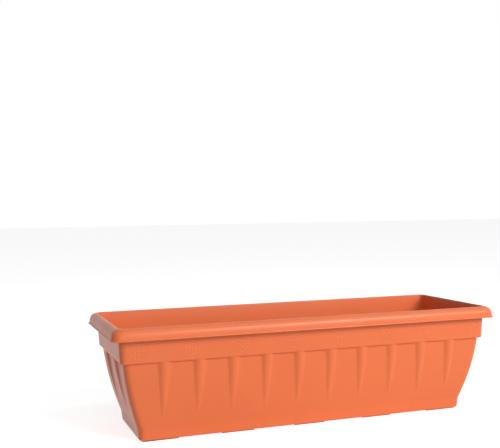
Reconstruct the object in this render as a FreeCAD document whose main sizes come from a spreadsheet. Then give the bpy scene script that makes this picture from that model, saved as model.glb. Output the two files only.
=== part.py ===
"""Window box planter: an injection-moulded trough and its push-in drain plugs.

The frame has +X along the length, +Y from front to back and +Z up. Its origin is on the ground
under the middle of the planter. All sizes are in millimetres.
"""
import FreeCAD, Part
import math
import operator
import os
import Sketcher
from types import SimpleNamespace

# Each driving size is one cell of the sheet: name, value, what it measures.
SIZES = [
    ("overall_length", 600, "over the rim"),
    ("overall_width", 210, "over the rim"),
    ("overall_height", 163, "ground to the crown of the rim"),
    ("wall", 2.0, "side walls, measured level"),
    ("floor_thickness", 2.6, "floor"),
    ("rim_width", 13.5, "outer edge of the lip to the inner wall"),
    ("rim_corner_radius", 18, "outer corners of the rim in plan"),
    ("rim_crown_radius", 6, "outer shoulder of the rim"),
    ("rim_inner_edge", 1.2, "bevel along the inner edge of the rim"),
    ("lip_height", 16.5, "crown down to the lower edge of the lip"),
    ("lip_thickness", 2.4, "down-turned lip, and the rim's deck"),
    ("lip_draft", 1.2, "the lip stands out this much more at its lower edge"),
    ("band_height", 49, "crown down to the underside of the band"),
    ("band_draft", 3.2, "the band leans in this much from top to bottom"),
    ("band_corner_radius", 8, "corners of the band"),
    ("band_edge", 0.8, "bevel along the lower edge of the band"),
    ("step_depth", 4.2, "the belly starts this far inside the band"),
    ("belly_corner_radius", 9, "corners of the belly and the plinth"),
    ("belly_bulge", 2.8, "how far the long sides bow out of a straight line"),
    ("belly_bulge_end", 3.2, "the same on the short sides"),
    ("plinth_height", 17, "ground to the crease between plinth and belly"),
    ("plinth_draft", 1.7, "the plinth leans in this much down to the base"),
    ("base_edge", 2.2, "bevel between plinth and base"),
    ("base_inset", 39, "rim to base on the long sides"),
    ("base_inset_end", 44, "rim to base on the short sides"),
    ("flute_pitch", 50, "flutes of the long sides"),
    ("flute_pitch_end", 65, "flutes of the short sides"),
    ("flute_width", 17.5, "flute at its upper end"),
    ("flute_tip_gap", 13, "crease up to the buried tip of a flute"),
    ("flute_tip_radius", 0.8, "inner radius of the buried tip"),
    ("flush_gap", 0.15, "the flute stays this far behind the band"),
    ("foot_height", 2, "foot bars under the base"),
    ("foot_width", 4.5, "foot bars across"),
    ("foot_setback", 4, "edge of the base to the foot bars"),
    ("foot_pitch", 112, "foot bars of the long sides"),
    ("foot_length", 48, "foot bars of the long sides"),
    ("foot_return", 26, "how far the corner feet run along the short sides"),
    ("web_thickness", 1.6, "stiffening webs under the rim"),
    ("web_height", 9, "stiffening webs below the deck of the rim"),
    ("web_pitch", 150, "webs of the long sides"),
    ("drain_radius", 5, "drain holes"),
    ("drain_setback", 14, "edge of the base to the axis of a drain hole"),
    ("plug_clearance", 0.08, "between a plug's stem and its hole, on the radius"),
    ("plug_head_radius", 8, "head of a plug"),
    ("plug_head_height", 1.8, "head of a plug"),
    ("plug_stem_reach", 1.1, "how far the stem shows under the floor"),
    ("grip_length", 10, "finger grip on the head"),
    ("grip_thickness", 2.4, "finger grip on the head"),
    ("grip_height", 5.5, "finger grip above the head"),
    ("grip_corner", 2, "sloping upper corners of the finger grip"),
]
FLUTES_SIDE = 10
FLUTES_END = 2
FEET_SIDE = 5
WEBS_SIDE = 3
DRAINS_SIDE = 4
FLUTE_STEPS = 2

doc = FreeCAD.newDocument("window_box_planter")
sheet = doc.addObject("Spreadsheet::Sheet", "Sizes")


class Size:
    """A length that carries its formula on the sheet together with its present number."""

    def __init__(self, formula, number):
        self.formula = formula
        self.number = number

    def join(self, sign, work, other, swapped=False):
        other = other if isinstance(other, Size) else Size(str(other), other)
        first, second = (other, self) if swapped else (self, other)
        return Size(f"({first.formula} {sign} {second.formula})", work(first.number, second.number))

    def __add__(self, other):
        return self.join("+", operator.add, other)

    def __radd__(self, other):
        return self.join("+", operator.add, other, swapped=True)

    def __sub__(self, other):
        return self.join("-", operator.sub, other)

    def __rsub__(self, other):
        return self.join("-", operator.sub, other, swapped=True)

    def __mul__(self, other):
        return self.join("*", operator.mul, other)

    def __rmul__(self, other):
        return self.join("*", operator.mul, other, swapped=True)

    def __truediv__(self, other):
        return self.join("/", operator.truediv, other)

    def root(self):
        return Size(f"sqrt({self.formula})", math.sqrt(self.number))


NOTHING = Size("0", 0)
planter = SimpleNamespace()
for row, (alias, number, meaning) in enumerate(SIZES, start=1):
    sheet.set(f"A{row}", meaning)
    sheet.set(f"B{row}", str(number))
    sheet.setAlias(f"B{row}", alias)
    setattr(planter, alias, Size(f"Sizes.{alias}", number))
doc.recompute()

# Heights above the ground.
lip_level = planter.overall_height - planter.lip_height
deck_level = planter.overall_height - planter.lip_thickness
step_level = planter.overall_height - planter.band_height
ledge_level = step_level + planter.wall
floor_level = planter.foot_height + planter.floor_thickness
tip_level = planter.plinth_height + planter.flute_tip_gap

# Distances inside the rim's outer edge.
band_top_inset = planter.rim_width - planter.wall
band_inset = band_top_inset + planter.band_draft
belly_top_inset = band_inset + planter.step_depth

# What differs between the long sides and the short ones.
side_face = SimpleNamespace(
    name="Side", base=planter.base_inset, bulge=planter.belly_bulge, reach=planter.overall_width / 2,
    count=FLUTES_SIDE, pitch=planter.flute_pitch, plane="YZ_Plane", axis="X_Axis", mirror="XZ_Plane",
    away=-1)
end_face = SimpleNamespace(
    name="End", base=planter.base_inset_end, bulge=planter.belly_bulge_end,
    reach=planter.overall_length / 2, count=FLUTES_END, pitch=planter.flute_pitch_end, plane="XZ_Plane",
    axis="Y_Axis", mirror="YZ_Plane", away=1)


def between(start, end, share):
    """The value that lies a share of the way from start to end."""
    return start + (end - start) * share


def belly_inset(face, level):
    """Inset of the belly at a level: a parabola from the step down to the crease."""
    share = (step_level - level) / (step_level - planter.plinth_height)
    chord = between(belly_top_inset, face.base - planter.plinth_draft, share)
    return chord - 4 * face.bulge * share * (1 - share)


def bind(item, prop, size):
    """Tie a length of a feature to the sheet."""
    item.setExpression(prop, f"{size.formula} * 1mm")


def origin_part(body, role):
    """Find one of a body's own origin planes or axes by its role."""
    return [item for item in body.Origin.OriginFeatures if item.Role == role][0]


def new_body(label):
    body = doc.addObject("PartDesign::Body", label)
    body.Label = label
    return body


def new_sketch(body, name, plane="XY_Plane", level=None):
    """A sketch on one of the body's origin planes, or lifted off it to a level."""
    sketch = body.newObject("Sketcher::SketchObject", name)
    sketch.AttachmentSupport = [(origin_part(body, plane), "")]
    sketch.MapMode = "FlatFace"
    if level is not None:
        bind(sketch, "AttachmentOffset.Base.z", level)
    return sketch


def dimension(sketch, name, size, kind, *where):
    """Add one named dimension and tie it to the sheet."""
    index = sketch.addConstraint(Sketcher.Constraint(kind, *where, size.number))
    sketch.renameConstraint(index, name)
    bind(sketch, f"Constraints.{name}", size)


def draw_round_rectangle(sketch, length, width, radius, tag=""):
    """Draw a rectangle with four equal round corners about the sketch's origin."""
    x, y, r = length.number / 2, width.number / 2, radius.number
    first = sketch.GeometryCount
    starts = [(r - x, -y), (x, r - y), (x - r, y), (-x, y - r)]
    ends = [(x - r, -y), (x, y - r), (r - x, y), (-x, r - y)]
    corners = [(x - r, r - y), (x - r, y - r), (r - x, y - r), (r - x, r - y)]
    up = FreeCAD.Vector(0, 0, 1)
    for side, (start, end, corner) in enumerate(zip(starts, ends, corners)):
        sketch.addGeometry(Part.LineSegment(FreeCAD.Vector(*start, 0), FreeCAD.Vector(*end, 0)))
        angle = (side - 1) * math.pi / 2
        circle = Part.Circle(FreeCAD.Vector(*corner, 0), up, r)
        sketch.addGeometry(Part.ArcOfCircle(circle, angle, angle + math.pi / 2))
    for step in range(8):
        here, after = first + step, first + (step + 1) % 8
        sketch.addConstraint(Sketcher.Constraint("Tangent", here, 2, after, 1))
    for side, kind in enumerate(["Horizontal", "Vertical", "Horizontal", "Vertical"]):
        sketch.addConstraint(Sketcher.Constraint(kind, first + 2 * side))
    for arc in (3, 5, 7):
        sketch.addConstraint(Sketcher.Constraint("Equal", first + 1, first + arc))
    sketch.addConstraint(Sketcher.Constraint("Symmetric", first, 1, first + 4, 1, -1, 1))
    dimension(sketch, "length" + tag, length, "DistanceX", first + 6, 1, first + 2, 1)
    dimension(sketch, "width" + tag, width, "DistanceY", first, 1, first + 4, 1)
    dimension(sketch, "corner" + tag, radius, "Radius", first + 1)


def draw_belly_outline(sketch, length, width, radius, flats):
    """The same outline with the middle of each side a line of its own, alike at every level."""
    x, y, r = length.number / 2, width.number / 2, radius.number
    up = FreeCAD.Vector(0, 0, 1)
    for side in range(4):
        turn = FreeCAD.Rotation(up, 90 * side)
        reach, out = (x, y) if side % 2 == 0 else (y, x)
        flat = flats[side % 2].number
        stops = [r - reach, -flat, flat, reach - r]
        points = [turn.multVec(FreeCAD.Vector(stop, -out, 0)) for stop in stops]
        for start, end in zip(points, points[1:]):
            sketch.addGeometry(Part.LineSegment(start, end))
        circle = Part.Circle(turn.multVec(FreeCAD.Vector(reach - r, r - out, 0)), up, r)
        angle = (side - 1) * math.pi / 2
        sketch.addGeometry(Part.ArcOfCircle(circle, angle, angle + math.pi / 2))
    for side, kind in enumerate(["Horizontal", "Vertical"] * 2):
        first, after = 4 * side, (4 * side + 4) % 16
        for line in range(first, first + 3):
            sketch.addConstraint(Sketcher.Constraint(kind, line))
        for line in range(first, first + 2):
            sketch.addConstraint(Sketcher.Constraint("Coincident", line, 2, line + 1, 1))
        sketch.addConstraint(Sketcher.Constraint("Tangent", first + 2, 2, first + 3, 1))
        sketch.addConstraint(Sketcher.Constraint("Tangent", first + 3, 2, after, 1))
        away = "DistanceX" if kind == "Horizontal" else "DistanceY"
        low, high = (1, 2) if side < 2 else (2, 1)
        dimension(sketch, f"flat_low{side}", flats[side % 2], away, first + 1, low, -1, 1)
        dimension(sketch, f"flat_high{side}", flats[side % 2], away, -1, 1, first + 1, high)
    for arc in (7, 11, 15):
        sketch.addConstraint(Sketcher.Constraint("Equal", 3, arc))
    sketch.addConstraint(Sketcher.Constraint("Symmetric", 0, 1, 8, 1, -1, 1))
    dimension(sketch, "length", length, "DistanceX", 12, 1, 4, 1)
    dimension(sketch, "width", width, "DistanceY", 0, 1, 8, 1)
    dimension(sketch, "corner", radius, "Radius", 3)


def outline(body, name, level, inset, radius, inset_end=None, flats=None):
    """A round-cornered outline of the planter at one level, inside the rim by its insets."""
    sketch = new_sketch(body, name, level=level)
    length = planter.overall_length - 2 * (inset_end or inset)
    width = planter.overall_width - 2 * inset
    if flats:
        draw_belly_outline(sketch, length, width, radius, flats)
    else:
        draw_round_rectangle(sketch, length, width, radius)
    return sketch


def loft(body, name, sections, cut=False):
    """Loft through outlines from the top down, adding to the body or cutting from it."""
    kind = "SubtractiveLoft" if cut else "AdditiveLoft"
    feature = body.newObject("PartDesign::" + kind, name)
    feature.Profile = sections[0]
    feature.Sections = sections[1:]
    feature.Ruled = True
    return feature


def rim_edges(shape, level, inset):
    """Names of the edges that run round the planter at one level and inset."""
    half_length = planter.overall_length.number / 2 - inset.number
    half_width = planter.overall_width.number / 2 - inset.number
    names = []
    for index, edge in enumerate(shape.Edges, start=1):
        box = edge.BoundBox
        flat = abs(box.ZMin - level.number) < 0.01 and abs(box.ZMax - level.number) < 0.01
        reach_x = max(abs(box.XMin), abs(box.XMax))
        reach_y = max(abs(box.YMin), abs(box.YMax))
        if flat and (abs(reach_x - half_length) < 0.01 or abs(reach_y - half_width) < 0.01):
            names.append(f"Edge{index}")
    return names


def round_edges(body, name, base, level, inset, radius):
    """Fillet the edges that run round the planter at one level and inset."""
    doc.recompute()
    names = rim_edges(base.Shape, level, inset)
    if not names:
        raise RuntimeError(f"{name}: no edge at that level and inset")
    feature = body.newObject("PartDesign::Fillet", name)
    feature.Base = (base, names)
    bind(feature, "Radius", radius)
    return feature


def repeat(body, original, face, count, pitch):
    """Repeat a feature along its side of the planter and mirror the row to the other side."""
    row = body.newObject("PartDesign::LinearPattern", original.Name + "Row")
    row.Direction = (origin_part(body, face.axis), [""])
    row.Occurrences = count
    bind(row, "Length", (count - 1) * pitch)
    mirror = body.newObject("PartDesign::Mirrored", original.Name + "Mirror")
    mirror.MirrorPlane = (origin_part(body, face.mirror), [""])
    both = body.newObject("PartDesign::MultiTransform", original.Name + "s")
    both.Originals = [original]
    both.Transformations = [row, mirror] if count > 1 else [mirror]
    body.Tip = both
    return both


def add_belly(body, top_level, offset):
    """The tapering, slightly bowed sides between the step and the crease, a facet at a time."""
    levels = [top_level]
    for step in range(1, FLUTE_STEPS + 1):
        levels.append(between(step_level, tip_level, step / FLUTE_STEPS))
    levels.append(planter.plinth_height)
    flats = []
    for face in (end_face, side_face):
        crease = face.reach - belly_inset(face, planter.plinth_height)
        flats.append(crease - 3 / 2 * planter.belly_corner_radius)
    sections = []
    for step, level in enumerate(levels):
        side = belly_inset(side_face, level) + offset
        end = belly_inset(end_face, level) + offset
        corner = planter.belly_corner_radius - offset
        sections.append(outline(body, f"{body.Name}Belly{step}", level, side, corner, end, flats))
    loft(body, body.Name + "BellyLoft", sections)


def flutes(body, face, offset, over_step):
    """A row of tapered flutes on two sides, each a spindle turned about an axis that leans inwards.

    The crest of a flute follows the belly. It is flush with the band at its top and sinks under
    the belly at its tip. The spindle ends a little over the step.
    """
    height = planter.step_depth - planter.flush_gap
    half_width = planter.flute_width / 2
    radius_top = (half_width * half_width + height * height) / (2 * height)
    radius_tip = planter.flute_tip_radius + planter.wall
    drop = step_level - tip_level
    top_inset = belly_top_inset - height + radius_top
    tip_inset = belly_inset(face, tip_level) + planter.flush_gap + radius_tip
    run = tip_inset - top_inset
    length = (drop * drop + run * run).root()
    sine, cosine = run / length, drop / length
    part_of_belly = drop / (step_level - planter.plinth_height)
    bulge = face.bulge * part_of_belly * part_of_belly
    high = radius_top * sine + over_step
    low = length - radius_tip * sine

    sketch = new_sketch(body, f"{body.Name}{face.name}Spindle", plane=face.plane)
    along = (face.count - 1) / 2 * face.pitch
    leaning = FreeCAD.Rotation(FreeCAD.Vector(0, 0, 1), math.degrees(math.asin(sine.number)))
    sketch.AttachmentOffset = FreeCAD.Placement(FreeCAD.Vector(), leaning)
    sketch.setExpression("AttachmentOffset.Rotation.Angle", f"asin({sine.formula})")
    bind(sketch, "AttachmentOffset.Base.x", top_inset - face.reach)
    bind(sketch, "AttachmentOffset.Base.y", step_level)
    bind(sketch, "AttachmentOffset.Base.z", face.away * along)
    crest = []
    for step in range(FLUTE_STEPS + 1):
        share = step / FLUTE_STEPS
        radius = between(radius_top * cosine, radius_tip * cosine, share) - offset
        crest.append((radius + 4 * bulge * share * (1 - share), between(high, -1 * low, share)))
    points = [FreeCAD.Vector(0, high.number, 0)]
    points += [FreeCAD.Vector(radius.number, place.number, 0) for radius, place in crest]
    points.append(FreeCAD.Vector(0, -low.number, 0))
    for start, end in zip(points, points[1:] + points[:1]):
        sketch.addGeometry(Part.LineSegment(start, end))
    count = len(points)
    for line in range(count):
        sketch.addConstraint(Sketcher.Constraint("Coincident", line, 2, (line + 1) % count, 1))
    sketch.addConstraint(Sketcher.Constraint("PointOnObject", 0, 1, -2))
    sketch.addConstraint(Sketcher.Constraint("PointOnObject", count - 1, 1, -2))
    sketch.addConstraint(Sketcher.Constraint("Horizontal", 0))
    sketch.addConstraint(Sketcher.Constraint("Horizontal", count - 2))
    for line, (radius, place) in enumerate(crest, start=1):
        dimension(sketch, f"radius{line}", radius, "DistanceX", -1, 1, line, 1)
        if place.number > 0:
            dimension(sketch, f"place{line}", place, "DistanceY", -1, 1, line, 1)
        else:
            dimension(sketch, f"place{line}", -1 * place, "DistanceY", line, 1, -1, 1)
    one = body.newObject("PartDesign::Revolution", f"{body.Name}{face.name}Flute")
    one.Profile = sketch
    one.ReferenceAxis = (sketch, ["V_Axis"])
    one.Angle = 360
    repeat(body, one, face, face.count, face.pitch)


def block(body, name, cut, size, corner):
    """A box feature by its size and its low corner along X, Y and Z."""
    kind = "SubtractiveBox" if cut else "AdditiveBox"
    box = body.newObject("PartDesign::" + kind, name)
    box.AttachmentSupport = [(origin_part(body, "XY_Plane"), "")]
    box.MapMode = "FlatFace"
    for side, length in zip(("Length", "Width", "Height"), size):
        bind(box, side, length)
    for letter, place in zip("xyz", corner):
        bind(box, f"AttachmentOffset.Base.{letter}", place)
    return box


def add_rim(body):
    """A flat deck with a down-turned lip, webs behind the lip and a round shoulder."""
    crown = outline(body, "Crown", planter.overall_height, planter.lip_draft,
                    planter.rim_corner_radius - planter.lip_draft)
    lip = outline(body, "LipEdge", lip_level, NOTHING, planter.rim_corner_radius)
    loft(body, "Cap", [crown, lip])
    inner_draft = planter.lip_thickness + planter.lip_draft
    high = outline(body, "HollowHigh", deck_level, inner_draft, planter.rim_corner_radius - inner_draft)
    low = outline(body, "HollowLow", lip_level, planter.lip_thickness,
                  planter.rim_corner_radius - planter.lip_thickness)
    hollow = loft(body, "LipHollow", [high, low], cut=True)
    round_edges(body, "HollowRound", hollow, deck_level, inner_draft,
                planter.rim_crown_radius - planter.lip_thickness)
    reach = band_top_inset + planter.wall / 2 - planter.lip_thickness
    tall = planter.web_height + planter.lip_thickness / 2
    low_end = deck_level - planter.web_height
    side_start = planter.lip_thickness - planter.overall_width / 2
    end_start = planter.lip_thickness - planter.overall_length / 2
    first_web = (1 - WEBS_SIDE) / 2 * planter.web_pitch - planter.web_thickness / 2
    side_web = block(body, "SideWeb", False, (planter.web_thickness, reach, tall),
                     (first_web, side_start, low_end))
    repeat(body, side_web, side_face, WEBS_SIDE, planter.web_pitch)
    end_web = block(body, "EndWeb", False, (reach, planter.web_thickness, tall),
                    (end_start, planter.web_thickness / -2, low_end))
    webs = repeat(body, end_web, end_face, 1, planter.web_pitch)
    round_edges(body, "Shoulder", webs, planter.overall_height, planter.lip_draft, planter.rim_crown_radius)


def add_band(body, top_level, top_inset, low_level, low_inset, corner):
    """The plain fascia, leaning in from top to bottom, with its corners about one axis."""
    high = outline(body, body.Name + "BandHigh", top_level, top_inset, corner + low_inset - top_inset)
    low = outline(body, body.Name + "BandLow", low_level, low_inset, corner)
    return [high, low]


def add_plinth(body, offset, levels):
    """The plinth under the crease, down to a bevel or the floor: a level and an inset at each."""
    sections = []
    for step, (level, inset) in enumerate(levels):
        corner = planter.belly_corner_radius - offset - inset + levels[0][1]
        sections.append(outline(body, f"{body.Name}Plinth{step}", level, planter.base_inset + inset,
                                corner, planter.base_inset_end + inset))
    loft(body, body.Name + "PlinthLoft", sections)


def add_feet(body):
    """Foot bars: a low ring under the base, cut into bars by cross gaps."""
    ring = new_sketch(body, "FootRing")
    rings = {"_outer": planter.foot_setback, "_inner": planter.foot_setback + planter.foot_width}
    for tag, setback in rings.items():
        draw_round_rectangle(ring, planter.overall_length - 2 * (planter.base_inset_end + setback),
                             planter.overall_width - 2 * (planter.base_inset + setback),
                             planter.belly_corner_radius - setback * 2 / 3, tag)
    feet = body.newObject("PartDesign::Pad", "Feet")
    feet.Profile = ring
    bind(feet, "Length", planter.foot_height)
    gap = planter.foot_pitch - planter.foot_length
    gaps = FEET_SIDE - 1
    across = planter.overall_width
    side_gap = block(body, "SideGap", True, (gap, across, planter.foot_height),
                     ((1 - gaps) / 2 * planter.foot_pitch - gap / 2, across / -2, NOTHING))
    row = body.newObject("PartDesign::LinearPattern", "SideGaps")
    row.Originals = [side_gap]
    row.Direction = (origin_part(body, "X_Axis"), [""])
    row.Occurrences = gaps
    bind(row, "Length", (gaps - 1) * planter.foot_pitch)
    body.Tip = row
    free = across - 2 * (planter.base_inset + planter.foot_setback + planter.foot_return)
    block(body, "EndGap", True, (planter.overall_length, free, planter.foot_height),
          (planter.overall_length / -2, free / -2, NOTHING))


def cut_drains(body):
    """Drain holes near the long edges, between the foot bars."""
    sketch = new_sketch(body, "DrainHole", level=planter.foot_height)
    centre = FreeCAD.Vector(-drain_along.number, -drain_out.number, 0)
    sketch.addGeometry(Part.Circle(centre, FreeCAD.Vector(0, 0, 1), planter.drain_radius.number))
    dimension(sketch, "radius", planter.drain_radius, "Radius", 0)
    dimension(sketch, "left", drain_along, "DistanceX", 0, 3, -1, 1)
    dimension(sketch, "front", drain_out, "DistanceY", 0, 3, -1, 1)
    hole = body.newObject("PartDesign::Pocket", "Drain")
    hole.Profile = sketch
    hole.Reversed = True
    bind(hole, "Length", planter.floor_thickness + planter.wall)
    repeat(body, hole, side_face, DRAINS_SIDE, planter.foot_pitch)


drain_along = (DRAINS_SIDE - 1) / 2 * planter.foot_pitch
drain_out = planter.overall_width / 2 - planter.base_inset - planter.drain_setback


def make_form():
    """The outside of the moulding, solid."""
    body = new_body("trough_form")
    add_rim(body)
    top = planter.overall_height - planter.lip_thickness / 2
    sections = add_band(body, top, band_top_inset, step_level + planter.band_edge, band_inset,
                        planter.band_corner_radius)
    under = outline(body, "BandUnder", step_level, band_inset + planter.band_edge,
                    planter.band_corner_radius - planter.band_edge)
    loft(body, "Band", sections + [under])
    add_belly(body, step_level, NOTHING)
    base_edge = planter.foot_height + planter.base_edge
    crease = (planter.plinth_height, NOTHING - planter.plinth_draft)
    add_plinth(body, NOTHING, [crease, (base_edge, NOTHING), (planter.foot_height, planter.base_edge)])
    flutes(body, side_face, NOTHING, planter.band_edge)
    flutes(body, end_face, NOTHING, planter.band_edge)
    add_feet(body)
    cut_drains(body)
    return body


def make_core():
    """The room for the earth: band, belly, flutes and plinth again, one wall further in."""
    body = new_body("trough_core")
    mouth = outline(body, "Mouth", planter.overall_height, planter.rim_width - planter.rim_inner_edge,
                    planter.band_corner_radius + planter.band_draft - planter.wall + planter.rim_inner_edge)
    sections = add_band(body, planter.overall_height - planter.rim_inner_edge, planter.rim_width,
                        ledge_level, band_inset + planter.wall, planter.band_corner_radius - planter.wall)
    loft(body, "Mouthful", [mouth] + sections)
    add_belly(body, ledge_level, planter.wall)
    crease = (planter.plinth_height, planter.wall - planter.plinth_draft)
    add_plinth(body, planter.wall, [crease, (floor_level, planter.wall)])
    open_top = planter.wall + planter.flush_gap
    flutes(body, side_face, planter.wall, open_top)
    flutes(body, end_face, planter.wall, open_top)
    return body


def make_trough():
    """The whole moulding: its form less its core, so one wall thickness runs through it."""
    form, core = make_form(), make_core()
    trough = doc.addObject("Part::Cut", "trough")
    trough.Label = "trough"
    trough.Base = form
    trough.Tool = core
    return trough


def make_plug(label, column, side):
    """A drain plug: a stem that fills the hole, a flat head on the floor and a finger grip."""
    body = new_body(label)
    for part, radius, start, length in (
            ("stem", planter.drain_radius - planter.plug_clearance, planter.plug_stem_reach * -1
             - planter.floor_thickness, planter.floor_thickness + planter.plug_stem_reach),
            ("head", planter.plug_head_radius, NOTHING, planter.plug_head_height)):
        sketch = new_sketch(body, f"{label}_{part}_circle", level=start)
        sketch.addGeometry(Part.Circle(FreeCAD.Vector(), FreeCAD.Vector(0, 0, 1), radius.number))
        sketch.addConstraint(Sketcher.Constraint("Coincident", 0, 3, -1, 1))
        dimension(sketch, "radius", radius, "Radius", 0)
        pad = body.newObject("PartDesign::Pad", f"{label}_{part}")
        pad.Profile = sketch
        bind(pad, "Length", length)
    sketch = new_sketch(body, f"{label}_grip_outline", plane="XZ_Plane")
    half, cut = planter.grip_length / 2, planter.grip_corner
    low, high = planter.plug_head_height / 2, planter.plug_head_height + planter.grip_height
    x, c, y, z = half.number, cut.number, low.number, high.number
    corners = [(-x, y), (x, y), (x, z - c), (x - c, z), (c - x, z), (-x, z - c)]
    points = [FreeCAD.Vector(*corner, 0) for corner in corners]
    for start, end in zip(points, points[1:] + points[:1]):
        sketch.addGeometry(Part.LineSegment(start, end))
    for line in range(6):
        sketch.addConstraint(Sketcher.Constraint("Coincident", line, 2, (line + 1) % 6, 1))
    for line, kind in enumerate(["Horizontal", "Vertical", None, "Horizontal", None, "Vertical"]):
        if kind:
            sketch.addConstraint(Sketcher.Constraint(kind, line))
    dimension(sketch, "left", half, "DistanceX", 0, 1, -1, 1)
    dimension(sketch, "right", half, "DistanceX", -1, 1, 0, 2)
    dimension(sketch, "low", low, "DistanceY", -1, 1, 0, 1)
    dimension(sketch, "high", high, "DistanceY", -1, 1, 3, 1)
    dimension(sketch, "cut_right", cut, "DistanceX", 2, 2, 2, 1)
    dimension(sketch, "drop_right", cut, "DistanceY", 2, 1, 2, 2)
    dimension(sketch, "cut_left", cut, "DistanceX", 4, 2, 4, 1)
    dimension(sketch, "drop_left", cut, "DistanceY", 4, 2, 4, 1)
    grip = body.newObject("PartDesign::Pad", f"{label}_grip")
    grip.Profile = sketch
    grip.SideType = "Symmetric"
    bind(grip, "Length", planter.grip_thickness)
    bind(body, "Placement.Base.x", drain_along - column * planter.foot_pitch)
    bind(body, "Placement.Base.y", side * drain_out)
    bind(body, "Placement.Base.z", floor_level)
    return body


plugs = []
for side in (-1, 1):
    for column in range(DRAINS_SIDE):
        plugs.append(make_plug(f"drain_plug_{len(plugs) + 1}", column, side))
pieces = [make_trough()] + plugs
doc.recompute()

for item in doc.Objects:
    if "Invalid" in item.State or "Error" in item.State:
        raise RuntimeError(f"{item.Name}: {item.State}")
for piece in pieces:
    if piece.Shape.isNull() or not piece.Shape.isValid():
        raise RuntimeError(f"{piece.Label}: no valid shape")

os.makedirs("parts", exist_ok=True)
for piece in pieces:
    piece.Shape.exportStep(f"parts/{piece.Label}.step")
    solids = len(piece.Shape.Solids)
    print(f"{piece.Label}: {solids} solid, {piece.Shape.Volume / 1000:.2f} cm3")
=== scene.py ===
# %% [markdown]
# # A window box planter in terracotta plastic
# The real planter is one injection moulding with a rolled rim, a plain band, a fluted belly and a
# foot plinth, and eight small plugs that close its drain holes. The solids come from the packed
# model and hold the sizes. This lesson makes the surfaces that the camera and the hand meet.
# Reading the frame first means that every later piece can ride on the body that carries it.

# %% Load the frame
import math
from collections import namedtuple

import bmesh
import bpy
from mathutils import Matrix, Vector


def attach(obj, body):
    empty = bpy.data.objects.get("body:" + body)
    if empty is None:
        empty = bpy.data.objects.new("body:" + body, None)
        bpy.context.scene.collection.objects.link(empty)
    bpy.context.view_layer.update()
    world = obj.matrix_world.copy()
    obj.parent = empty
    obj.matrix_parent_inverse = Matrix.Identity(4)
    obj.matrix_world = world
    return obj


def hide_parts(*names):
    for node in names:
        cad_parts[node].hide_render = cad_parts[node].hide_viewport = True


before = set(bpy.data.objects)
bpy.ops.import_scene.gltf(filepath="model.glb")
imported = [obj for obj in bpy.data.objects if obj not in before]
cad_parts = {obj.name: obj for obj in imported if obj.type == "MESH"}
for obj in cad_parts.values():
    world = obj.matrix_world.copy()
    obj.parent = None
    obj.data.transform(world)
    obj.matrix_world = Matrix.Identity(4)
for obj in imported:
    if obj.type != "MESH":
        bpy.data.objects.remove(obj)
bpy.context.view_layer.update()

# %% [markdown]
# ## Sizes
# A moulder's drawing gives a planter in millimetres, so the meshes are made in millimetres and
# scaled once, at their end. Insets are measured inwards from the rim's outer edge, and levels
# upwards from the ground. The main numbers are those of the solids. The roll of the rim and the
# small rounded edges are finer here.

# %% Sizes of the planter
MM = 0.001
LENGTH, WIDTH, HEIGHT = 600, 210, 163
WALL = 2.0
RIM_WIDTH, RIM_CORNER, MOUTH_CORNER, MOUTH_EDGE = 13.5, 13, 10.4, 1.2
LIP_LEVEL, LIP_THICKNESS = 146.5, 2.4
BAND_DRAFT, BAND_CORNER, BAND_EDGE = 3.2, 8, 0.8
BAND_TOP_INSET = RIM_WIDTH - WALL
BAND_INSET = BAND_TOP_INSET + BAND_DRAFT
STEP_LEVEL, CREASE_LEVEL, TIP_LEVEL = 114, 17, 30
BELLY_TOP_INSET, BELLY_CORNER = 18.9, 9
PLINTH_DRAFT = 1.7
UNDERSIDE, FLOOR = 2, 4.6
BASE_EDGE, FLOOR_EDGE, SOFT_EDGE = 2.2, 2.5, 0.4
DRAIN_RADIUS = 5
DRAINS = [(x, y) for y in (-52, 52) for x in (168, 56, -56, -168)]

Face = namedtuple("Face", "along out base bulge flutes")
LONG_FACE = Face(LENGTH / 2, WIDTH / 2, 39, 2.8, [50 * (k - 4.5) for k in range(10)])
SHORT_FACE = Face(WIDTH / 2, LENGTH / 2, 44, 3.2, [-32.5, 32.5])
FACES = [LONG_FACE, SHORT_FACE, LONG_FACE, SHORT_FACE]
print("flutes on a long side:", LONG_FACE.flutes)

# %% [markdown]
# ## Camera
# The picture is taken from a little above the rim and from the left, so the left end shows as a
# narrow strip. The place, the turn and the lens were worked out from the corners of the rim, the
# ends of the base and the ten flutes.

# %% Camera
CAMERA_PLACE = (-0.48756, -1.16584, 0.32597)
CAMERA_TURN = (88.6331, 0.6584, -19.8024)
CAMERA_LENS = 58.796

camera = bpy.data.objects.new("camera", bpy.data.cameras.new("camera"))
bpy.context.scene.collection.objects.link(camera)
camera.location = CAMERA_PLACE
camera.rotation_euler = [math.radians(angle) for angle in CAMERA_TURN]
camera.data.lens = CAMERA_LENS
bpy.context.scene.camera = camera
print("camera at", tuple(round(value, 3) for value in camera.location), "lens", CAMERA_LENS)

# %% [markdown]
# ## Shader maths as sentences
# A moulded plastic varies a little from place to place, and that takes a handful of maths nodes.
# Written as nodes and links they are hard to read, so a small class wraps a socket and lets
# Python's own operators add the nodes. One method adds every other kind of node.

# %% Sockets that add up
class Value:
    """An output socket in a finish, with the arithmetic that the finishes use."""

    def __init__(self, finish, socket):
        self.finish = finish
        self.socket = socket

    def maths(self, operation, first, second):
        return self.finish.add("ShaderNodeMath", {"operation": operation}, {0: first, 1: second})

    def __add__(self, other):
        return self.maths("ADD", self, other)

    def __radd__(self, other):
        return self.maths("ADD", other, self)

    def __mul__(self, other):
        return self.maths("MULTIPLY", self, other)

    def __rmul__(self, other):
        return self.maths("MULTIPLY", other, self)


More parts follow.
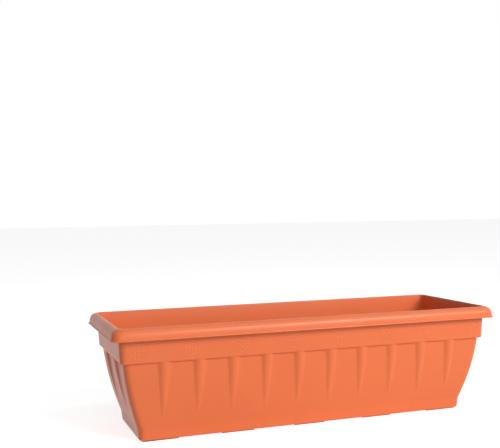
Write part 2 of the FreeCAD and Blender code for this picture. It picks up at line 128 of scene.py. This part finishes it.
class Finish:
    """The nodes of a material or of the world, under construction."""

    def __init__(self, owner):
        owner.use_nodes = True
        self.tree = owner.node_tree
        self.tree.nodes.clear()

    def add(self, kind, settings=None, inputs=None, output=0):
        """Add a node: its settings first, then values or links for its sockets."""
        node = self.tree.nodes.new(kind)
        for name, setting in (settings or {}).items():
            setattr(node, name, setting)
        for name, value in (inputs or {}).items():
            if isinstance(value, Value):
                self.tree.links.new(value.socket, node.inputs[name])
            else:
                node.inputs[name].default_value = value
        return Value(self, node.outputs[output]) if node.outputs else None

    def noise(self, place, scale, detail, roughness=0.5):
        """Cloudy noise over the surface, mostly between 0.3 and 0.7."""
        return self.add("ShaderNodeTexNoise", None, {
            "Vector": place, "Scale": scale, "Detail": detail, "Roughness": roughness})


# %% [markdown]
# ## Terracotta plastic
# The planter is coloured right through with a warm orange-brown pigment. The skin is satin: it
# has a fine grain from the mould, it is a little cloudy where the melt cooled, and handling has
# left some places smoother than others. Four noises at four scales give the cloud, the fine
# speckle of the pigment, the grain and the handling. They read Object coordinates, in metres, so
# they have the same scale on every piece. A picture wrapped round the planter would show a seam.

# %% Terracotta plastic
MIX_FACTOR, MIX_FIRST, MIX_SECOND, MIX_COLOUR = 0, 6, 7, 2  # sockets of a Mix node for colours
ROUGHNESS_SPREAD = 0.16
GRAIN_STRENGTH, GRAIN_DEPTH = 0.25, 0.00025
PLASTIC_IOR, SHEEN_LEVEL = 1.46, 0.3


def terracotta(name, pigment, shadow_pigment, smoothness):
    """A satin plastic that varies between two pigments; a low smoothness value shines more."""
    material = bpy.data.materials.new(name)
    finish = Finish(material)
    place = finish.add("ShaderNodeTexCoord", output="Object")
    cloud = finish.noise(place, scale=9, detail=3)
    speckle = finish.noise(place, scale=900, detail=2)
    grain = finish.noise(place, scale=1600, detail=3, roughness=0.6)
    handled = finish.noise(place, scale=28, detail=5, roughness=0.6)
    tint = finish.add("ShaderNodeMix", {"data_type": "RGBA"}, {
        MIX_FACTOR: 0.7 * cloud + 0.3 * speckle,
        MIX_FIRST: shadow_pigment, MIX_SECOND: pigment}, MIX_COLOUR)
    relief = finish.add("ShaderNodeBump", None, {
        "Strength": GRAIN_STRENGTH, "Distance": GRAIN_DEPTH,
        "Height": 0.7 * grain + 0.3 * speckle})
    shader = finish.add("ShaderNodeBsdfPrincipled", None, {
        "Base Color": tint, "Roughness": smoothness + ROUGHNESS_SPREAD * handled,
        "Normal": relief, "IOR": PLASTIC_IOR, "Specular IOR Level": SHEEN_LEVEL})
    finish.add("ShaderNodeOutputMaterial", None, {"Surface": shader})
    return material


moulded = terracotta("terracotta_plastic", pigment=(0.83, 0.195, 0.066, 1),
                     shadow_pigment=(0.72, 0.155, 0.05, 1), smoothness=0.25)
plugs_finish = terracotta("plug_plastic", pigment=(0.74, 0.17, 0.06, 1),
                          shadow_pigment=(0.62, 0.135, 0.045, 1), smoothness=0.32)
print("finishes:", moulded.name, plugs_finish.name)

# %% [markdown]
# ## The belly and its flutes in numbers
# The sides bow outwards in a shallow curve from the step down to the crease. Each flute is a
# half-round rib. It starts flush with the band and gets narrower and lower until it sinks into
# the belly. Such a rib is part of a circle across, so its radius and its rise at a level give its
# half-width. A cove softens the line where it meets the belly. The moulding has one wall
# thickness, so the inside has the same shape, one wall further in.

# %% Belly and flute
TOP_RADIUS, TIP_RADIUS = 11.48, 2.8
TOP_RISE, TIP_RISE = 4.05, -0.15
TOP_WIDTH, NARROWEST = 8.75, 1.5
COVE, COVE_STEP = 2.6, 1.3
FULL_COVE_RISE = 2


def between(start, end, share):
    """The value at a share of the way from a start to an end."""
    return start + (end - start) * share


def spread(start, end, steps):
    """Values at equal steps from a start to an end."""
    return [between(start, end, step / steps) for step in range(steps + 1)]


def belly_inset(face, level):
    """Inset of the belly on this face at a level."""
    share = (STEP_LEVEL - level) / (STEP_LEVEL - CREASE_LEVEL)
    chord = between(BELLY_TOP_INSET, face.base - PLINTH_DRAFT, share)
    return chord - 4 * face.bulge * share * (1 - share)


def flute_circle(level, wall):
    """Radius, rise and half-width of a flute at a level, on the skin a wall further in."""
    share = min(max((STEP_LEVEL - level) / (STEP_LEVEL - TIP_LEVEL), 0), 1)
    radius = between(TOP_RADIUS, TIP_RADIUS, share) - wall
    rise = between(TOP_RISE, TIP_RISE, share)
    half_width = math.sqrt(max(2 * radius * rise - rise * rise, 0))
    return radius, rise, half_width


def flute_height(level, wall, away):
    """How far the flute stands out of the belly at a distance from its middle."""
    radius, rise, _ = flute_circle(level, wall)
    if rise <= 0:
        return 0
    cove = COVE * min(rise / FULL_COVE_RISE, 1)
    height = math.sqrt(max(radius * radius - away * away, 0)) - (radius - rise)
    if height > cove:
        return height
    return max(height + cove, 0) ** 2 / (4 * cove)


for level in (STEP_LEVEL, 72, 40):
    print("flute half-width at", level, "is", round(flute_circle(level, 0)[2], 2))

# %% [markdown]
# ## Rows: the section through the wall
# A moulding like this is thought of as one section that runs all the way round. The section is
# walked from the edge of the floor, up the inside, over the rim, down the outside and back under
# the base. Each step of that walk is a row with a level, an inset on the long sides, an inset on
# the ends and a corner radius. Small arcs round the edges, as a mould's do. Where flutes may
# stand out of a row, it also has the level at which their shape is read.

# %% Rows of the section
Row = namedtuple("Row", "level side end corner belly wall")
BASE = LONG_FACE.base
END_EXTRA = SHORT_FACE.base - BASE
LEDGE = STEP_LEVEL + WALL
BAND_FOOT, BAND_HEAD = STEP_LEVEL + BAND_EDGE, HEIGHT - MOUTH_EDGE


def plain(level, inset, corner, extra_end=0, belly=None, wall=0):
    """A row with the same inset all round, but for what the ends add."""
    return Row(level, inset, inset + extra_end, corner, belly, wall)


def base_row(inset, level):
    """A row of the base or the floor, with corners about one centre."""
    return plain(level, inset, BELLY_CORNER - PLINTH_DRAFT + BASE - inset, END_EXTRA)


def band_row(inset, level, belly=None):
    """A row of the band, inside or outside, with corners about one centre."""
    return plain(level, inset, BAND_CORNER + BAND_INSET - inset, belly=belly)


def belly_rows(levels, wall):
    """Rows that follow the bow of the sides, on the skin a wall further in."""
    return [Row(level, belly_inset(LONG_FACE, level) + wall, belly_inset(SHORT_FACE, level) + wall,
                BELLY_CORNER - wall, level, wall) for level in levels]


def arc(centre, radii, start, end, steps, shape=1):
    """Places on an arc as (inset, level), with 0 degrees outwards and 90 degrees up."""
    angles = [math.radians(angle) for angle in spread(start, end, steps)]
    return [(centre[0] - radii[0] * math.cos(angle) ** shape,
             centre[1] + radii[1] * math.sin(angle) ** shape) for angle in angles]


# %% Rows inside
floor_arc = arc((BASE + WALL + FLOOR_EDGE, FLOOR + FLOOR_EDGE), (FLOOR_EDGE, FLOOR_EDGE), -90, 0, 5)
inside = [base_row(*place) for place in floor_arc]
inside += belly_rows(spread(CREASE_LEVEL, LEDGE, 36), WALL)
inside += [plain(LEDGE, BAND_INSET + WALL + SOFT_EDGE, BAND_CORNER - WALL,
                 belly=STEP_LEVEL, wall=WALL)]
upright = [(between(BAND_INSET + WALL, RIM_WIDTH, share),
            between(LEDGE + SOFT_EDGE, BAND_HEAD, share)) for share in (0, 0.03, 0.3, 0.65)]
mouth = arc((RIM_WIDTH - MOUTH_EDGE, BAND_HEAD), (MOUTH_EDGE, MOUTH_EDGE), 180, 90, 4)
inside += [band_row(*place) for place in upright + mouth]
print("rows inside:", len(inside))

# %% [markdown]
# The rim rolls over in a slightly square quarter of an ellipse, ends in a fine bead at its lower
# edge, and comes back up under itself, one lip thickness further in, to meet the band.

# %% Rows over the rim
ROLL_CENTRE = (RIM_WIDTH - MOUTH_EDGE, 149.8)
ROLL_REACH, ROLL_RISE, ROLL_SHAPE = 10.5, 13.2, 0.88
BEAD = [(1.75, 149.0), (1.3, 148.4), (0.6, 148.1), (0.17, 147.85), (0, 147.35), (0.12, 146.85),
        (0.5, LIP_LEVEL), (3.9, LIP_LEVEL), (4.25, 146.9)]
BAND_START = (11.6, 160.1)

roll = arc(ROLL_CENTRE, (ROLL_REACH, ROLL_RISE), 86, 4, 14, ROLL_SHAPE)
under_roll = arc(ROLL_CENTRE, (ROLL_REACH - LIP_THICKNESS, ROLL_RISE - LIP_THICKNESS), 4, 80, 8,
                 ROLL_SHAPE)
rim = [plain(level, inset, between(RIM_CORNER, MOUTH_CORNER, inset / ROLL_CENTRE[0]))
       for inset, level in roll + BEAD + under_roll]
rim += [band_row(*BAND_START)]
print("rows over the rim:", len(rim))

# %% Rows outside
band = [band_row(between(BAND_TOP_INSET, BAND_INSET, share), between(BAND_HEAD, BAND_FOOT, share))
        for share in (0.25, 0.5, 0.75, 0.96)]
band_arc = arc((BAND_INSET + BAND_EDGE, BAND_FOOT), (BAND_EDGE, BAND_EDGE), 0, -90, 4)
band += [band_row(*place, belly=STEP_LEVEL) for place in band_arc]
band += [plain(STEP_LEVEL, BELLY_TOP_INSET - SOFT_EDGE, BELLY_CORNER, belly=STEP_LEVEL)]
base_arc = arc((BASE + BASE_EDGE, UNDERSIDE + BASE_EDGE), (BASE_EDGE, BASE_EDGE), 0, -90, 5)
outside = band + belly_rows(spread(STEP_LEVEL - SOFT_EDGE, CREASE_LEVEL, 44), 0)
outside += [base_row(*place) for place in base_arc]
print("rows outside:", len(outside))

# %% [markdown]
# ## Columns: the way round
# Going round the planter, the mesh needs many points across each flute, a few between flutes and
# some round each corner. Because a flute gets narrower towards its tip, its points move closer
# together from row to row, and the edge of the flute always lies along a line of the mesh. A
# fixed grid would leave that edge in steps.

# %% Columns of the outline
FLUTE_POINTS, COVE_POINTS = 8, 2  # on each side of a flute's middle, and those past its edge
GAP_POINTS, END_GAP_POINTS = 3, 5
CORNER_STEPS = 9
FLUTE_SWEEP = math.radians(50)
Column = namedtuple("Column", "side kind index share")


def flute_spot(level, wall, point):
    """Distance from the middle of a flute for one of its points."""
    width = max(flute_circle(level, wall)[2], NARROWEST)
    edge_point = FLUTE_POINTS - COVE_POINTS
    if abs(point) >= edge_point:
        return math.copysign(width + COVE_STEP * (abs(point) - edge_point), point)
    turn = math.sin(FLUTE_SWEEP * point / (edge_point - 1)) / math.sin(FLUTE_SWEEP)
    return turn * width * (1 - COVE_STEP / TOP_WIDTH)


columns = []
for side, face in enumerate(FACES):
    last = len(face.flutes)
    for index in range(last + 1):
        count = END_GAP_POINTS if index in (0, last) else GAP_POINTS
        columns += [Column(side, "gap", index, (step + 1) / (count + 1)) for step in range(count)]
        if index < last:
            columns += [Column(side, "flute", index, point)
                        for point in range(-FLUTE_POINTS, FLUTE_POINTS + 1)]
    columns += [Column(side, "corner", 0, step / CORNER_STEPS) for step in range(CORNER_STEPS + 1)]
print("columns:", len(columns))

# %% Where a row and a column cross
def turned(side, along, out):
    """A place on one of the four sides, as X and Y."""
    return [(along, -out), (out, along), (-along, out), (-out, -along)][side]


def spot(row, column):
    """Where a row and a column cross, in millimetres."""
    face = FACES[column.side]
    insets = (row.side, row.end) if column.side % 2 == 0 else (row.end, row.side)
    out = face.out - insets[0]
    reach = face.along - insets[1] - row.corner
    if column.kind == "corner":
        angle = column.share * math.pi / 2
        along = reach + row.corner * math.sin(angle)
        return (*turned(column.side, along, out - row.corner * (1 - math.cos(angle))), row.level)
    level = row.level if row.belly is None else row.belly
    if column.kind == "flute":
        away = flute_spot(level, row.wall, column.share)
        along = face.flutes[column.index] + away
        if row.belly is not None and abs(column.share) < FLUTE_POINTS:
            valley = belly_inset(face, row.belly) + row.wall
            crest = valley - flute_height(row.belly, row.wall, away)
            out = max(out, face.out - crest)
    else:
        half = flute_spot(level, row.wall, FLUTE_POINTS)
        edges = [middle + sign * half for middle in face.flutes for sign in (-1, 1)]
        stops = [-reach, *edges, reach]
        along = between(stops[2 * column.index], stops[2 * column.index + 1], column.share)
    return (*turned(column.side, along, out), row.level)


print("first place of the first row:", [round(value, 2) for value in spot(inside[0], columns[0])])

# %% [markdown]
# ## One skin from floor to rim to base
# The outline starts as a circle of vertices, one for each column, and is laid on the first row.
# Then the loop of edges is extruded again and again, and each new loop is laid on its row. This
# gives a closed wall with even faces, which a boolean between an outside and an inside doesn't.
# The floor and the base are then filled round the drain holes, and the holes get their walls.

# %% The wall
def loop_edges(vertices):
    """The edges between these vertices, each once."""
    chosen = set(vertices)
    near = dict.fromkeys(edge for vertex in vertices for edge in vertex.link_edges)
    return [edge for edge in near if set(edge.verts) <= chosen]


def extruded(mesh, edges):
    """Extrude a loop of edges and give back the new vertices."""
    made = bmesh.ops.extrude_edge_only(mesh, edges=edges)["geom"]
    return [item for item in made if isinstance(item, bmesh.types.BMVert)]


def lay(vertices, row, number):
    """Put each vertex where its column crosses a row."""
    for vertex in vertices:
        vertex.co = spot(row, columns[vertex[number]])


skin = bmesh.new()
number = skin.verts.layers.int.new("column")
loop = bmesh.ops.create_circle(skin, segments=len(columns), radius=1)["verts"]
for index, vertex in enumerate(loop):
    vertex[number] = index
rows = inside + rim + outside
lay(loop, rows[0], number)
top_edges = loop_edges(loop)
low_edges = top_edges
for row in rows[1:]:
    loop = extruded(skin, low_edges)
    lay(loop, row, number)
    low_edges = loop_edges(loop)
print("wall faces:", len(skin.faces))

# %% Floor, base and drain holes
HOLE_EDGE, HOLE_SEGMENTS = 0.35, 36
HOLE_RINGS = [(DRAIN_RADIUS, FLOOR - HOLE_EDGE), (DRAIN_RADIUS, UNDERSIDE + HOLE_EDGE),
              (DRAIN_RADIUS + HOLE_EDGE, UNDERSIDE)]

for x, y in DRAINS:
    ring = bmesh.ops.create_circle(skin, segments=HOLE_SEGMENTS, radius=DRAIN_RADIUS + HOLE_EDGE,
                                   matrix=Matrix.Translation((x, y, FLOOR)))["verts"]
    top_edges += loop_edges(ring)
    for radius, level in HOLE_RINGS:
        ring = extruded(skin, loop_edges(ring))
        for vertex in ring:
            away = Vector((vertex.co.x - x, vertex.co.y - y)).normalized() * radius
            vertex.co = (x + away.x, y + away.y, level)
    low_edges += loop_edges(ring)
for edges in (top_edges, low_edges):
    bmesh.ops.triangle_fill(skin, use_beauty=True, use_dissolve=False, edges=edges,
                            normal=(0, 0, 1))
bmesh.ops.recalc_face_normals(skin, faces=skin.faces)
open_edges = [edge for edge in skin.edges if not edge.is_manifold]
print("faces:", len(skin.faces), "open edges:", len(open_edges))

# %% [markdown]
# ## Turning a mesh into a piece
# Every piece ends the same way. Its mesh goes from millimetres to metres, edges that turn
# sharply stay crisp and the rest are shaded smooth, it gets its finish, and it rides on a body.

# %% Finish a piece
CRISP_ANGLE = math.radians(32)


def finish_piece(mesh, name, body, material, replaced=()):
    """Make an object of a mesh, in metres, that rides on a body and has a finish."""
    bmesh.ops.scale(mesh, vec=(MM, MM, MM), verts=mesh.verts)
    for edge in mesh.edges:
        edge.smooth = edge.calc_face_angle(0) < CRISP_ANGLE
    for face in mesh.faces:
        face.smooth = True
    data = bpy.data.meshes.new(name)
    mesh.to_mesh(data)
    mesh.free()
    data.materials.append(material)
    piece = bpy.data.objects.new(name, data)
    bpy.context.scene.collection.objects.link(piece)
    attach(piece, body)
    if replaced:
        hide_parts(*replaced)
    print(name, "has", sum(len(face.vertices) - 2 for face in data.polygons), "triangles")


finish_piece(skin, "trough_skin", "trough", moulded, ["trough"])

# %% [markdown]
# ## Rim webs
# Under the rim, thin webs tie the down-turned lip to the wall and keep it straight. They are
# plates whose top follows the roll, so the corners of a cube are moved into place and its edges
# get a small bevel. Three stand on each long side and one on each end.

# %% Rim webs
WEB_THICKNESS, WEB_PITCH, WEB_EDGE = 1.6, 150, 0.3
WEB_OUTER_INSET, WEB_INNER_INSET = 3.4, 12.4
WEB_FOOT, WEB_OUTER_TOP, WEB_INNER_TOP = 151.6, 157, 161.8


def round_edges(mesh, vertices, radius, segments=2):
    """Round every edge of a block."""
    edges = list(dict.fromkeys(edge for vertex in vertices for edge in vertex.link_edges))
    bmesh.ops.bevel(mesh, geom=edges, offset=radius, segments=segments, affect="EDGES",
                    profile=0.5, material=-1)


def add_web(mesh, side, along):
    """A plate square to one side, from the lip to the wall, with its top under the rolled rim."""
    vertices = bmesh.ops.create_cube(mesh, size=1)["verts"]
    for vertex in vertices:
        outer, upper = vertex.co.y > 0, vertex.co.z > 0
        out = FACES[side].out - (WEB_OUTER_INSET if outer else WEB_INNER_INSET)
        level = (WEB_OUTER_TOP if outer else WEB_INNER_TOP) if upper else WEB_FOOT
        vertex.co = (*turned(side, along + WEB_THICKNESS * vertex.co.x, out), level)
    round_edges(mesh, vertices, WEB_EDGE)


webs = bmesh.new()
for side in range(4):
    for along in ((-WEB_PITCH, 0, WEB_PITCH) if side % 2 == 0 else (0,)):
        add_web(webs, side, along)
bmesh.ops.recalc_face_normals(webs, faces=webs.faces)
finish_piece(webs, "rim_webs", "trough", moulded)

# %% [markdown]
# ## Foot bars
# The base stands on low bars under its edges, so that water can run away. The straight ones are
# rounded blocks. The four at the corners go round the corner, so a small upright face is
# extruded along one leg, spun through the corner and extruded along the other leg.

# %% Foot bars
BAR, BAR_LIFT, BAR_LENGTH, BAR_PITCH, BAR_EDGE = 4.5, 2.3, 48, 112, 0.4
FOOT_OUT_X, FOOT_OUT_Y = 252, 62
CORNER_START, LEG_Y = 200, 26
TURN, TURN_STEPS = 4.6, 6


def add_block(mesh, size, centre, radius, segments=2):
    """A block of a size about its centre, with its edges rounded."""
    shape = Matrix.Translation(centre) @ Matrix.Diagonal((*size, 1))
    vertices = bmesh.ops.create_cube(mesh, size=1, matrix=shape)["verts"]
    round_edges(mesh, vertices, radius, segments)


def connected(vertices):
    """All vertices that edges join to these, in the order in which they are met."""
    met = dict.fromkeys(vertices)
    front = list(met)
    while front:
        vertex = front.pop()
        for other in [edge.other_vert(vertex) for edge in vertex.link_edges]:
            if other not in met:
                met[other] = None
                front.append(other)
    return list(met)


def corner_bar(mesh, sign_x, sign_y, long_leg, short_leg):
    """A bar that goes round one corner of the base."""
    middle_x, middle_y = FOOT_OUT_X - TURN - BAR / 2 + 2.25, FOOT_OUT_Y - TURN - BAR / 2 + 2.25
    made = bmesh.ops.create_grid(mesh, x_segments=1, y_segments=1, size=0.5)["verts"]
    for vertex in made:
        across, up = vertex.co.x, vertex.co.y
        vertex.co = (middle_x - long_leg, -(middle_y + TURN - BAR / 2) + across * BAR,
                     BAR_LIFT / 2 + up * BAR_LIFT)
    start = list({face for vertex in made for face in vertex.link_faces})
    body = set(made)

    def push(faces, step):
        out = bmesh.ops.extrude_face_region(mesh, geom=faces)["geom"]
        moved = [item for item in out if isinstance(item, bmesh.types.BMVert)]
        bmesh.ops.translate(mesh, verts=moved, vec=step)
        body.update(moved)
        return [item for item in out if isinstance(item, bmesh.types.BMFace)]

    ends = push(start, (long_leg, 0, 0))
    spun = bmesh.ops.spin(mesh, geom=ends, cent=(middle_x, -middle_y, 0), axis=(0, 0, 1), steps=6,
                          angle=math.pi / 2, use_merge=False)["geom_last"]
    ends = push([item for item in spun if isinstance(item, bmesh.types.BMFace)], (0, short_leg, 0))
    whole = set()
    front = list(body)
    while front:
        vertex = front.pop()
        if vertex not in whole:
            whole.add(vertex)
            front += [edge.other_vert(vertex) for edge in vertex.link_edges]
    for vertex in whole:
        vertex.co.x *= sign_x
        vertex.co.y *= -sign_y


feet = bmesh.new()
for sign_y in (-1, 1):
    for x in (-BAR_PITCH, 0, BAR_PITCH):
        centre = (x, sign_y * (FOOT_OUT_Y - BAR / 2), BAR_LIFT / 2)
        add_block(feet, (BAR_LENGTH, BAR, BAR_LIFT), centre, BAR_EDGE)
    for sign_x in (-1, 1):
        corner_bar(feet, sign_x, sign_y, FOOT_OUT_X - TURN - CORNER_START, LEG_Y - TURN)
bmesh.ops.recalc_face_normals(feet, faces=feet.faces)
finish_piece(feet, "foot_bars", "trough", moulded)

# %% [markdown]
# ## Rosettes on the band
# The band carries a row of faint round rosettes, an old ornament on garden pots: a ring, eight
# petals and a button. They stand out by about a fifth of a millimetre and only catch the light.
# The ring is a small arch spun about the middle, and the petals and the button are flattened
# spheres that are half sunk in the band.

# %% Rosettes
ROSETTES, ROSETTE_PITCH, ROSETTE_LEVEL = 8, 75, 130
RELIEF, RING_RADIUS, RING_STEPS = 0.22, 10.5, 40
RING_ARCH = [(-0.9, -0.3), (-0.8, 0.02), (-0.45, 0.8 * RELIEF), (0, RELIEF),
             (0.45, 0.8 * RELIEF), (0.8, 0.02), (0.9, -0.3)]
PETALS, PETAL_REACH, PETAL_SIZE = 8, 6, (3.6, 1.75, RELIEF)
BUTTON_SIZE = (2, 2, 1.3 * RELIEF)


def add_dome(mesh, size, place):
    """A flattened sphere that is half sunk in the surface."""
    bmesh.ops.create_icosphere(mesh, subdivisions=2, radius=1,
                               matrix=place @ Matrix.Diagonal((*size, 1)))


def add_rosette(mesh, place):
    """A ring, eight petals and a button on the surface at a place."""
    arch = [mesh.verts.new((RING_RADIUS + away, 0, rise)) for away, rise in RING_ARCH]
    ribs = [mesh.edges.new(pair) for pair in zip(arch, arch[1:])]
    bmesh.ops.spin(mesh, geom=arch + ribs, cent=(0, 0, 0), axis=(0, 0, 1), steps=RING_STEPS,
                   angle=math.tau, use_merge=True)
    bmesh.ops.transform(mesh, matrix=place, verts=connected(arch))
    for petal in range(PETALS):
        turn = Matrix.Rotation(petal * math.tau / PETALS, 4, "Z")
        add_dome(mesh, PETAL_SIZE, place @ turn @ Matrix.Translation((PETAL_REACH, 0, 0)))
    add_dome(mesh, BUTTON_SIZE, place)


band_share = (BAND_HEAD - ROSETTE_LEVEL) / (BAND_HEAD - BAND_FOOT)
band_out = WIDTH / 2 - between(BAND_TOP_INSET, BAND_INSET, band_share)
band_lean = math.atan(BAND_DRAFT / (BAND_HEAD - BAND_FOOT))
stand = Matrix.Rotation(math.pi / 2 + band_lean, 4, "X")
rosettes = bmesh.new()
for half_turn in (0, math.pi):
    for index in range(ROSETTES):
        x = (index - (ROSETTES - 1) / 2) * ROSETTE_PITCH
        here = Matrix.Translation((x, -band_out, ROSETTE_LEVEL)) @ stand
        add_rosette(rosettes, Matrix.Rotation(half_turn, 4, "Z") @ here)
bmesh.ops.recalc_face_normals(rosettes, faces=rosettes.faces)
finish_piece(rosettes, "band_rosettes", "trough", moulded)

# %% [markdown]
# ## Drain plugs
# Each plug is a turned shape with a flat finger grip. Half its section is drawn as a few points
# and spun all the way round, and the grip is a rounded block that stands on the head. The stem
# is bored from below, as such plugs are, so that it can give a little in its hole.

# %% Drain plugs
PLUG_SECTION = [(0, 1.8), (6.9, 1.8), (7.55, 1.62), (7.9, 1.2), (8.0, 0.75), (8.0, 0.3),
                (7.85, 0.0), (4.92, 0.0), (4.92, -3.1), (4.72, -3.5), (4.3, -3.7), (3.4, -3.7),
                (3.3, -3.4), (3.3, -0.6), (0, -0.6)]
PLUG_STEPS = 48
GRIP_SIZE, GRIP_CENTRE, GRIP_EDGE = (10, 2.4, 6.0), (0, 0, 4.3), 0.9

for index, (x, y) in enumerate(DRAINS):
    plug = bmesh.new()
    section = [plug.verts.new((radius, 0, level)) for radius, level in PLUG_SECTION]
    lines = [plug.edges.new(pair) for pair in zip(section, section[1:])]
    bmesh.ops.spin(plug, geom=section + lines, cent=(0, 0, 0), axis=(0, 0, 1), steps=PLUG_STEPS,
                   angle=math.tau, use_merge=True)
    bmesh.ops.remove_doubles(plug, verts=plug.verts, dist=0.001)
    bmesh.ops.recalc_face_normals(plug, faces=plug.faces)
    add_block(plug, GRIP_SIZE, GRIP_CENTRE, GRIP_EDGE, segments=3)
    bmesh.ops.translate(plug, verts=plug.verts, vec=(x, y, FLOOR))
    name = f"drain_plug_{index + 1}"
    finish_piece(plug, f"plug_{index + 1}", name, plugs_finish, [name])

# %% [markdown]
# ## Floor and light
# The photograph is lit softly from the front and the right, and its ground is white. The floor is
# a pale matt sheet. Where the camera sees it, straight or in a mirror, it also glows, so that it
# reaches white away from the planter and still shows the planter's shadow. A large lamp in front
# and to the right is the main light, and the left end gets almost none of it. A narrow strip
# overhead draws a line of light along the roll of the rim.

# %% Floor
WHITE = (1, 1, 1, 1)
SHEET_GREY, FLOOR_GLOW, FLOOR_HALF = (0.8, 0.8, 0.8, 1), 0.76, 12


def background_rays(finish):
    """1 for the rays that show the background: straight, mirrored or through glass."""
    straight, mirrored, through = [
        finish.add("ShaderNodeLightPath", output=kind)
        for kind in ("Is Camera Ray", "Is Glossy Ray", "Is Transmission Ray")]
    return straight + mirrored + through


pale = bpy.data.materials.new("pale_floor")
ground = Finish(pale)
sheet = ground.add("ShaderNodeBsdfDiffuse", None, {"Color": SHEET_GREY})
glow = ground.add("ShaderNodeEmission", None, {"Color": WHITE, "Strength": FLOOR_GLOW})
both = ground.add("ShaderNodeAddShader", None, {0: sheet, 1: glow})
shown = ground.add("ShaderNodeMixShader", None, {0: background_rays(ground), 1: sheet, 2: both})
ground.add("ShaderNodeOutputMaterial", None, {"Surface": shown})

floor_mesh = bmesh.new()
bmesh.ops.create_grid(floor_mesh, x_segments=1, y_segments=1, size=FLOOR_HALF)
floor_data = bpy.data.meshes.new("floor")
floor_mesh.to_mesh(floor_data)
floor_mesh.free()
floor_data.materials.append(pale)
floor = bpy.data.objects.new("floor", floor_data)
bpy.context.scene.collection.objects.link(floor)
print("floor:", 2 * FLOOR_HALF, "m square")

# %% Lights
def soft_box(name, place, aim, size, power):
    """A rectangular lamp that points at a place."""
    data = bpy.data.lights.new(name, "AREA")
    data.shape = "RECTANGLE"
    data.size, data.size_y = size
    data.energy = power
    lamp = bpy.data.objects.new(name, data)
    lamp.location = place
    lamp.rotation_euler = (Vector(aim) - Vector(place)).to_track_quat("-Z", "Y").to_euler()
    bpy.context.scene.collection.objects.link(lamp)


soft_box("key", place=(1.25, -2.3, 1.4), aim=(0, 0, 0.08), size=(1.3, 1.0), power=58)
soft_box("front_fill", place=(0.2, -2.8, 0.8), aim=(0, 0, 0.08), size=(2.0, 1.0), power=11)
soft_box("overhead_strip", place=(0.1, -0.55, 1.5), aim=(0, 0, 0.16), size=(2.0, 0.1), power=3)
print("lamps:", [item.name for item in bpy.data.lights])

# %% World
DIM_ROOM, WHITE_ROOM = 0.22, 1.0

world = bpy.data.worlds.new("studio")
bpy.context.scene.world = world
sky = Finish(world)
dim = sky.add("ShaderNodeBackground", None, {"Color": WHITE, "Strength": DIM_ROOM})
white = sky.add("ShaderNodeBackground", None, {"Color": WHITE, "Strength": WHITE_ROOM})
mixed = sky.add("ShaderNodeMixShader", None, {0: background_rays(sky), 1: dim, 2: white})
sky.add("ShaderNodeOutputWorld", None, {"Surface": mixed})
bpy.context.scene.view_settings.view_transform = "Standard"
print("world:", world.name, "with", len(sky.tree.nodes), "nodes")
